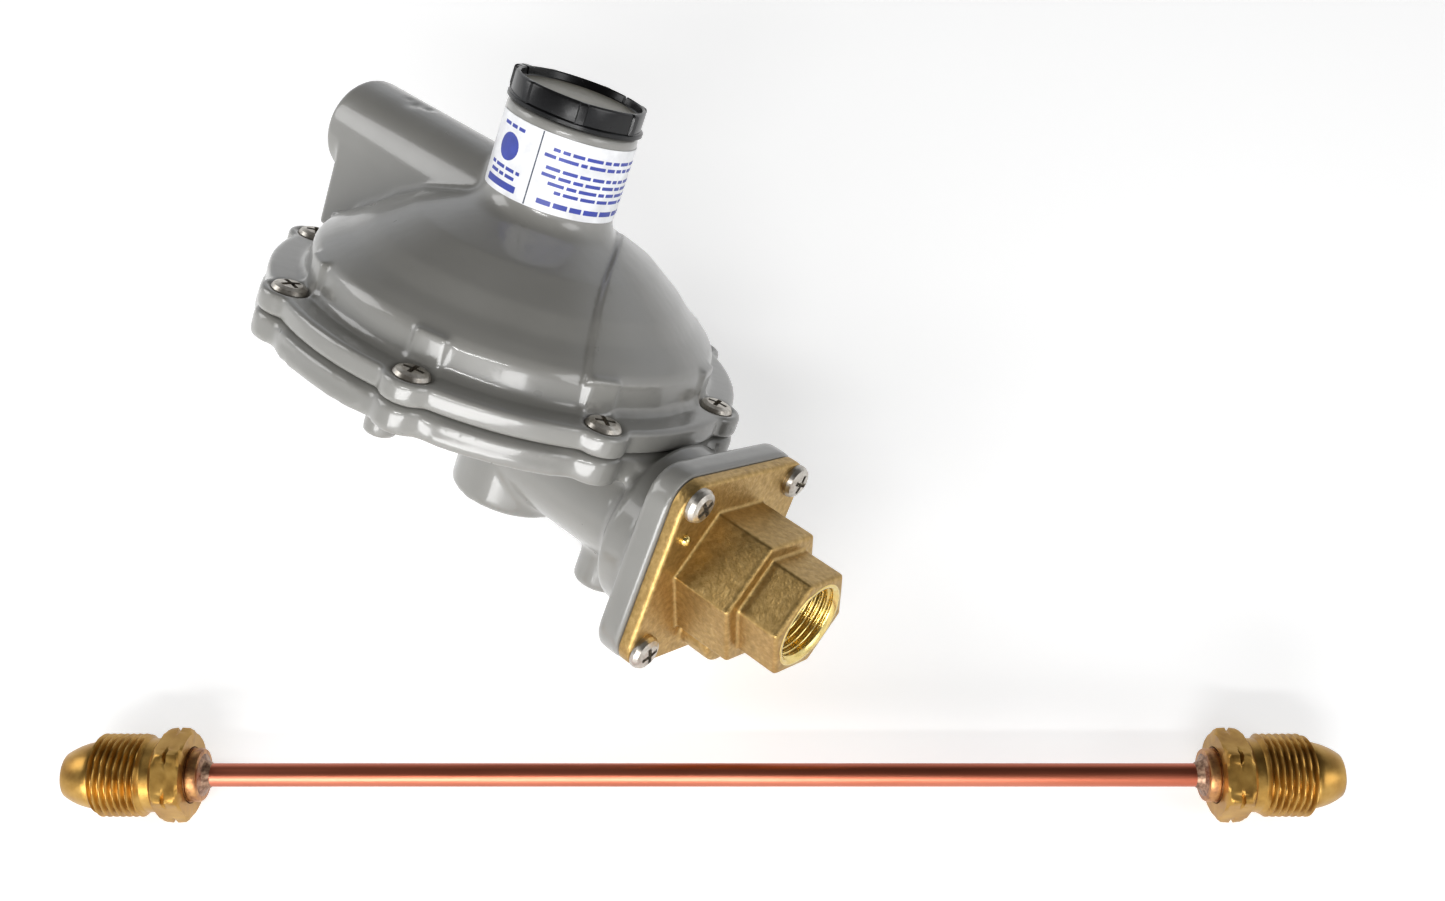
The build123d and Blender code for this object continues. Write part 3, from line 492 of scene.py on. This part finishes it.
def dome_crease(points, normals):
    """The crest that runs down the dome beside the bonnet, higher on its far side."""
    x, y, z = points.T
    beyond = (x - 26.3) * 0.77 + (y - 4.9) * 0.64
    beyond += 1.6 * np.sin(pi * np.clip((np.hypot(x, y) - 22.0) / 38.0, 0, 1))
    valley = -0.5 * np.exp(np.minimum(beyond + 0.8, 0) / 5.0)
    crest = 1.5 * smooth_step(beyond, -0.8, 0.8) * np.exp(-np.maximum(beyond, 0) / 30.0)
    zone = smooth_step(z, 13.0, 16.0) * smooth_step(-z, -44.0, -42.0) * smooth_step(normals[:, 2], 0.1, 0.2)
    return (valley + crest) * zone * smooth_step(x, 10.0, 16.0)


def vent_pits(points, _normals):
    """Shallow casting pits on top of the vent."""
    depth = np.zeros(len(points))
    for x, y, size, deep in ((-60.0, -3.0, 2.6, 0.8), (-55.5, -1.5, 1.8, 0.6), (-64.0, -2.0, 1.5, 0.4)):
        near = ((points[:, 0] - x) ** 2 + (points[:, 1] - y) ** 2) / size ** 2
        depth -= deep * np.exp(-near) * (points[:, 2] > vent_z)
    return depth


def make_upper_casing():
    piece = copy_of("upper_casing", LAID, "upper_casing_skin")
    shoulder = [(dome_r - 16.0, 12.0), (dome_r + 0.6, upper_flange_h - 0.5),
                (dome_r - 0.2, shoulder_top - 2.0),
                (dome_r - 1.4, shoulder_top), (dome_r - 4.6, shoulder_top + 2.5), (dome_r - 16.0, 27.8)]
    extras = [turned(shoulder, 160)]
    for a in screw_angles():
        extras.append(arc_bar(dome_r - 8.0, dome_r + pad_stands, upper_flange_h - 1.0, shoulder_top - 0.6,
                              a - pad_half_deg, a + pad_half_deg))
    join(piece, extras)
    cast_skin(piece, 0.65, 1.4, 2)
    reshape(piece, dome_crease)
    reshape(piece, vent_pits)
    thin_out(piece, 0.4)
    return settle(piece, LAID, "regulator", "grey_casting", ["upper_casing"], PAINT)


def make_lower_casing():
    piece = copy_of("lower_casing", LAID, "lower_casing_skin")
    extras = []
    for a in screw_angles():
        middle = a + 22.5
        for proud, low, high, half in ((1.1, -lower_flange_h + 0.4, -4.6, 13.5), (1.0, -2.2, -0.9, 13.0)):
            bar = arc_bar(flange_r - 2.0, flange_r + proud, low, high, middle - half, middle + half)
            extras.append(bar)
    join(piece, extras)
    cast_skin(piece, 0.8, 1.2, 4)
    thin_out(piece, 0.45)
    return settle(piece, LAID, "regulator", "grey_casting", ["lower_casing"], PAINT)


# ---- brass inlet -----------------------------------------------------------------------
def along_x(x, z=inlet_z):
    """The frame of a shape turned about Z that is laid on the inlet axis."""
    return Matrix.Translation((x * MM, 0, z * MM)) @ Matrix.Rotation(pi / 2, 4, "Y")


def make_inlet_block():
    piece = copy_of("inlet_block", LAID, "inlet_block_skin")
    remesh(piece, 0.45)
    soften(piece, 5)
    root_r = inlet_thread_r + 1.35
    bore = turned([(root_r, inlet_thread_end + 0.6 - mouth_x), (root_r, 3.0)], 64, along_x(mouth_x))
    cut(piece, [bore])
    return settle(piece, LAID, "regulator", "cast_brass", ["inlet_block"], CAST_BRASS)


def helical_wall(x_from, x_to, crest_r, depth, pitch, hand, steps, per_turn=10):
    """Rows of points round X whose radius follows a V thread. Positive depth goes outward from the crest."""
    rows = []
    count = int(ceil(abs(x_to - x_from) / pitch * per_turn))
    for i in range(count + 1):
        x = x_from + (x_to - x_from) * i / count
        row = []
        for k in range(steps):
            turn = k / steps
            phase = (x / pitch + hand * turn) % 1.0
            wave = abs(2.0 * phase - 1.0)
            wave = min(1.0, max(0.0, wave * 1.25 - 0.125))
            r = crest_r + depth * wave
            row.append((x, r * cos(tau * turn), r * sin(tau * turn)))
        rows.append(row)
    return rows


def ring_row(x, r, steps):
    return [(x, r * cos(tau * k / steps), r * sin(tau * k / steps)) for k in range(steps)]


def make_inlet_thread():
    """Left-hand thread cut in the mouth, with its chamfer and the faced end of the hexagon."""
    steps = 96
    back, back_r = inlet_thread_end + 0.4, inlet_thread_r + 1.5
    rows = [ring_row(back, back_r, steps), ring_row(back, inlet_thread_r, steps)]
    rows += helical_wall(inlet_thread_end + 1.0, mouth_x - 1.2, inlet_thread_r, 1.05,
                         thread_pitch, -1.0, steps)
    rows += [ring_row(mouth_x - 0.9, inlet_thread_r + 0.75, steps),
             ring_row(mouth_x + 0.06, mouth_chamfer_r, steps),
             ring_row(mouth_x + 0.08, mouth_chamfer_r + 1.0, steps),
             ring_row(mouth_x - 0.6, mouth_chamfer_r + 1.1, steps),
             ring_row(back, back_r, steps)]
    verts = [(x, y, z + inlet_z) for row in rows for x, y, z in row]
    piece = new_object("inlet_thread", verts, grid_faces(len(rows), steps), LAID)
    return settle(piece, LAID, "regulator", "cast_brass", [], BRIGHT_BRASS)


# ---- cap -------------------------------------------------------------------------------
def cap_wall_r(angle_deg):
    """Radius of the cap's side wall: grip ribs with flat panels sunk between them, and one wide lug."""
    rib_r, panel_r = cap_r, cap_r - 0.95
    spacing = 360.0 / cap_ribs
    off = abs((angle_deg - cap_first_rib + spacing / 2) % spacing - spacing / 2)
    flat = panel_r + 0.35 * (1 - cos(radians(max(0.0, off - 4.0) / (spacing / 2 - 4.0) * 90.0 - 90.0)))
    wall = rib_r if off < 3.2 else flat
    from_lug = abs((angle_deg - cap_lug_deg + 180) % 360 - 180)
    return cap_r + 1.0 if from_lug < 9.0 else wall


def make_cap():
    steps = 360
    top, well = cap_low + cap_h, cap_low + cap_h - cap_well
    ring_heights = [(19.6, cap_low), (cap_r, cap_low + 0.35), (cap_r, cap_low + 1.3),
                    (cap_r - 0.25, cap_low + 1.55)]
    inside = [(18.55, top), (18.2, top - 0.3), (17.9, well + 0.4), (17.3, well), (9.0, well), (0.02, well)]
    under = [(0.02, cap_low + 1.0), (13.4, cap_low + 1.0), (13.4, bonnet_top - 6.5),
             (15.7, bonnet_top - 6.5),
             (15.95, bonnet_top - 6.2), (15.95, cap_low)]
    rows = [[(r, z)] * steps for r, z in under + ring_heights]
    wall = ((0.0, cap_low + 1.75), (0.0, top - 1.0), (0.15, top - 0.45), (0.55, top - 0.1), (0.9, top))
    for sink, z in wall:
        rows.append([(cap_wall_r(k * 360 / steps) - sink, z) for k in range(steps)])
    rows += [[(r, z)] * steps for r, z in inside]
    turns = [tau * k / steps for k in range(steps)]
    verts = [(r * cos(a), r * sin(a), z) for row in rows for a, (r, z) in zip(turns, row)]
    faces = grid_faces(len(rows), steps)
    faces.append(tuple(range(steps))[::-1])
    faces.append(tuple(range((len(rows) - 1) * steps, len(rows) * steps)))
    piece = new_object("bonnet_cap_skin", verts, faces, Matrix.Identity(4))
    slits = []
    for a in (cap_slit_deg, cap_lug_deg):
        turn = Matrix.Rotation(radians(a), 4, "Z")
        slits.append(block(16.5, 24.0, -0.55, 0.55, well + 0.3, top + 1.0, turn, "slit"))
    cut(piece, slits)
    mark_sharp(piece, 32)
    settle(piece, LAID, "cap", "black_plastic", ["bonnet_cap"], BLACK)
    # A thin disc in the cap's well carries a painted reflection, grey-beige in place of the bright surroundings
    # mirrored by the glossy black floor.
    disc = turned([(0.02, well - 0.4), (17.2, well - 0.4), (17.2, well + 0.12), (16.9, well + 0.25),
                   (0.02, well + 0.3)], 96)
    disc.name = "cap_floor"
    mark_sharp(disc, 32)
    return settle(disc, LAID, "cap", "black_plastic", [], CAP_FLOOR_PAINTED_REFLECTION)


# ---- label -----------------------------------------------------------------------------
def wrapped_patch(from_deg, to_deg, low, high, corner, inner, outer):
    """A patch with rounded corners bent round the bonnet, as a closed solid: (verts, faces)."""
    width = radians(to_deg - from_deg) * outer
    places = [corner * (1 - cos(pi / 2 * i / 6)) for i in range(7)] if corner else [0.0]
    middle = max(2, int((width - 2 * corner) / 0.8))
    spots = places + [corner + (width - 2 * corner) * i / middle for i in range(1, middle)]
    spots += [width - s for s in reversed(places)]
    verts = []
    for s in spots:
        edge = min(s, width - s)
        lift = corner - sqrt(max(0.0, corner ** 2 - (corner - edge) ** 2)) if edge < corner else 0.0
        lift = min(lift, (high - low) / 2 - 0.002)
        a = radians(from_deg) + s / outer
        for r, z in ((inner, low + lift), (outer, low + lift), (outer, high - lift), (inner, high - lift)):
            verts.append((r * cos(a), r * sin(a), z))
    n = len(spots)
    faces = [(0, 1, 2, 3), tuple(4 * (n - 1) + i for i in (3, 2, 1, 0))]
    faces += [(4 * k + i, 4 * k + 4 + i, 4 * k + 4 + (i + 1) % 4, 4 * k + (i + 1) % 4)
              for k in range(n - 1) for i in range(4)]
    return verts, faces


def patches(name, places, inner, outer, material):
    """One piece of several printed patches, each (from_deg, to_deg, low, high, corner)."""
    verts, faces = [], []
    for place in places:
        more, sides = wrapped_patch(*place, inner, outer)
        faces += [tuple(i + len(verts) for i in f) for f in sides]
        verts += more
    piece = new_object(name, verts, faces, LAID, smooth=False)
    return settle(piece, LAID, "regulator", "label_film", [], material)


def printed_line(chance, from_deg, to_deg, middle, height):
    """A row of short bars of uneven width, like a line of small print."""
    bars, at = [], from_deg
    while at < to_deg - 3.0:
        width = min(chance.uniform(5.0, 17.0), to_deg - at)
        bars.append((at, at + width, middle - height / 2, middle + height / 2, 0.15))
        at += width + 2.2
    return bars


def make_label():
    skin_r = bonnet_r + 0.2
    low, high = 47.0, 69.0
    film = [(-128.0, 62.0, low, high, 1.8)]
    label = patches("bonnet_label_film", film, bonnet_r - 0.05, skin_r, WHITE_FILM)
    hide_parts("bonnet_label")
    ink_r = skin_r + 0.03
    patches("label_divider", [(-70.1, -68.9, low + 0.2, high - 0.2, 0.0)], skin_r - 0.02, ink_r, DARK_INK)
    chance = random.Random(7)
    bars = printed_line(chance, -113.0, -86.0, 66.3, 1.0)
    bars += printed_line(chance, -117.0, -80.0, 54.3, 1.0)
    bars += printed_line(chance, -115.0, -82.0, 52.3, 1.0)
    bars += [(-118.0, -80.0, 48.6, 50.6, 0.3)]
    lines = ((65.0, -58.0, 50.0), (62.9, -64.0, 54.0), (59.6, -60.0, 52.0), (57.5, -62.0, 55.0),
             (55.4, -55.0, 50.0), (53.3, -48.0, 44.0))
    for middle, start, end in lines:
        bars += printed_line(chance, start, end, middle, 1.0)
    bars += printed_line(chance, -60.0, 54.0, 49.7, 1.5)
    patches("label_print", bars, skin_r - 0.02, ink_r, BLUE_INK)
    disc = [(-110.5, -87.5, 56.3, 64.3, 3.95)]
    patches("label_badge", disc, skin_r - 0.02, ink_r, BLUE_INK)


# ---- pigtail ends ----------------------------------------------------------------------
def hexagon_r(flat, angle):
    """Distance from the axis to the side of a hexagon, at an angle."""
    return flat / 2 / cos((angle + pi / 6) % (pi / 3) - pi / 6)


def nut_rows(steps):
    """Left fitting's nut from its thread to its back face, at distances from the nose tip along +X."""
    rows = [ring_row(9.3, 7.7, steps), ring_row(8.8, 9.3, steps), ring_row(9.1, 10.0, steps)]
    rows += helical_wall(9.6, 22.3, 11.2, -1.25, thread_pitch, 1.0, steps)
    for x, r in ((22.7, 10.3), (23.1, 9.95), (25.6, 9.95), (26.2, 10.5)):
        rows.append(ring_row(x, r, steps))
    start, long, free = 26.3, 7.8, 99
    stations = (
        (0.0, 10.7, 0), (0.045, 11.6, 0), (0.12, 12.2, 0), (0.2, 12.6, 0), (0.43, free, 0),
        (0.455, free, 1), (0.5, free, 2), (0.545, free, 1), (0.57, free, 0), (0.86, 12.7, 0),
        (0.93, 12.2, 0), (1.0, 11.2, 0),
    )
    for share, chamfer_r, groove in stations:
        depth = nut_flat / 2 + (0.95, 0.6, 0.3)[groove] if groove else free
        row = []
        for k in range(steps):
            a = tau * k / steps
            r = min(hexagon_r(nut_flat, a), chamfer_r, depth)
            row.append((start + share * long, r * cos(a), r * sin(a)))
        rows.append(row)
    rows += [ring_row(start + long, 7.7, steps)]
    rows += [ring_row(9.3, 7.7, steps)]
    return rows


def nipple_rows(steps):
    """Bullet nose, stem through the nut and the collar that the tube is brazed in."""
    nose = [(0.0, 3.4), (0.0, 5.4), (0.25, 6.0), (1.0, 6.5), (2.2, 7.2), (3.8, 7.95), (5.4, 8.5),
            (7.0, 8.9), (8.2, 9.1),
            (8.6, 9.0), (8.6, 7.4)]
    tail = [(34.3, 7.4), (34.3, 6.9), (34.6, 7.2), (36.6, 7.25), (37.2, 6.9), (37.3, 6.2), (37.3, 3.4)]
    return [ring_row(x, r, steps) for x, r in nose], [ring_row(x, r, steps) for x, r in tail]


def flipped(rows, right):
    """Turns a left fitting's rows, measured from its nose tip, into the pigtail's frame, at either end."""
    if right:
        return [(half_length - x, -y, z) for row in rows for x, y, z in row]
    return [(x - half_length, y, z) for row in rows for x, y, z in row]


def make_fitting(end, right):
    steps = 144
    rows = nut_rows(steps)
    nut = new_object(end + "_nut_skin", flipped(rows, right), grid_faces(len(rows), steps), PIGTAIL)
    mark_sharp(nut, 35)
    settle(nut, PIGTAIL, end + "_nut", "turned_brass", [end + "_nut"], TURNED_BRASS)
    nose, tail = nipple_rows(steps)
    rows = nose + tail
    nipple = new_object(end + "_nipple_skin", flipped(rows, right), grid_faces(len(rows), steps), PIGTAIL)
    mark_sharp(nipple, 35)
    settle(nipple, PIGTAIL, "pigtail", "turned_brass", [end + "_nipple"], TURNED_BRASS, TARNISHED)
    for polygon in nipple.data.polygons:
        polygon.material_index = int(polygon.index >= (len(nose) - 1) * steps)


def mark_sharp(piece, angle):
    """Smooth shading that breaks at edges sharper than angle degrees."""
    piece.data.set_sharp_from_angle(angle=radians(angle))


# ---- rounding of the CAD pieces that stay ----------------------------------------------
def round_edges(node, width, segments=2):
    cad = frame["nodes"][node]
    mod = cad.modifiers.new("round_edges", "BEVEL")
    mod.width = width * MM
    mod.segments = segments
    mod.limit_method = "ANGLE"
    mod.angle_limit = radians(40)
    cad.data.polygons.foreach_set("use_smooth", [True] * len(cad.data.polygons))
    cad.data.set_sharp_from_angle(angle=radians(50))


for name in ("flange_screws", "inlet_screws", "outlet_tap_plug", "first_stage_tap_plug", "cap_gasket"):
    round_edges(name, 0.2)
make_upper_casing()
make_lower_casing()
make_inlet_block()
make_inlet_thread()
make_cap()
make_label()
make_fitting("left", False)
make_fitting("right", True)


# ---- floor, light and camera -----------------------------------------------------------
def area_light(name, place, target, size, power, colour=(1, 1, 1)):
    data = bpy.data.lights.new(name, "AREA")
    data.shape = "RECTANGLE"
    data.size, data.size_y = size
    data.energy = power
    data.color = colour
    lamp = bpy.data.objects.new(name, data)
    bpy.context.scene.collection.objects.link(lamp)
    lamp.location = place
    lamp.rotation_euler = (Vector(target) - Vector(place)).to_track_quat("-Z", "Y").to_euler()


def make_stage():
    half = 6.0
    mesh = bpy.data.meshes.new("floor")
    corners = [(-half, -half, 0), (half, -half, 0), (half, half, 0), (-half, half, 0)]
    mesh.from_pydata(corners, [], [(0, 1, 2, 3)])
    floor_piece = bpy.data.objects.new("floor", mesh)
    bpy.context.scene.collection.objects.link(floor_piece)
    pale = Paint("pale_floor", (0.86, 0.86, 0.86), 0.7,
                 Emission_Color=(1.0, 1.0, 1.0, 1.0), Emission_Strength=0.5)
    pale.rough_by(pale.noise(60.0), 0.65, 0.75)
    mesh.materials.append(pale.made)
    make_sky()
    area_light("key", (-0.3, -1.1, 0.3), (-0.05, 0.0, 0.05), (1.1, 0.3), 10.0)
    area_light("strip", (-0.15, -0.85, 0.62), (-0.05, 0.0, 0.05), (0.5, 0.05), 2.5)
    area_light("fill", (0.95, -0.55, 0.5), (0.0, 0.0, 0.04), (0.6, 0.5), 3.0)
    area_light("left", (-1.0, 0.2, 0.7), (-0.05, 0.05, 0.06), (0.6, 0.6), 4.0)


def make_sky():
    """A studio's surroundings: pale walls low down, darker overhead."""
    world = bpy.data.worlds.new("studio")
    world.use_nodes = True
    tree = world.node_tree
    where = tree.nodes.new("ShaderNodeTexCoord")
    split = tree.nodes.new("ShaderNodeSeparateXYZ")
    ramp = tree.nodes.new("ShaderNodeValToRGB")
    tree.links.new(where.outputs["Generated"], split.inputs[0])
    tree.links.new(split.outputs["Z"], ramp.inputs["Fac"])
    tree.links.new(ramp.outputs["Color"], tree.nodes["Background"].inputs["Color"])
    low, high = ramp.color_ramp.elements
    low.position, low.color = 0.2, (0.95, 0.97, 1.0, 1.0)
    high.position, high.color = 0.6, (0.10, 0.096, 0.09, 1.0)
    tree.nodes["Background"].inputs["Strength"].default_value = 0.9
    bpy.context.scene.world = world


def make_camera():
    data = bpy.data.cameras.new("view")
    data.sensor_width = 36.0
    data.lens = 35.22
    data.clip_start = 0.01
    camera = bpy.data.objects.new("view", data)
    bpy.context.scene.collection.objects.link(camera)
    camera.location = (0.00525, -0.2638, 0.3747)
    camera.rotation_euler = (radians(90 - 52.68), 0.0, 0.0)
    bpy.context.scene.camera = camera
    bpy.context.scene.view_settings.view_transform = "Standard"


make_stage()
make_camera()
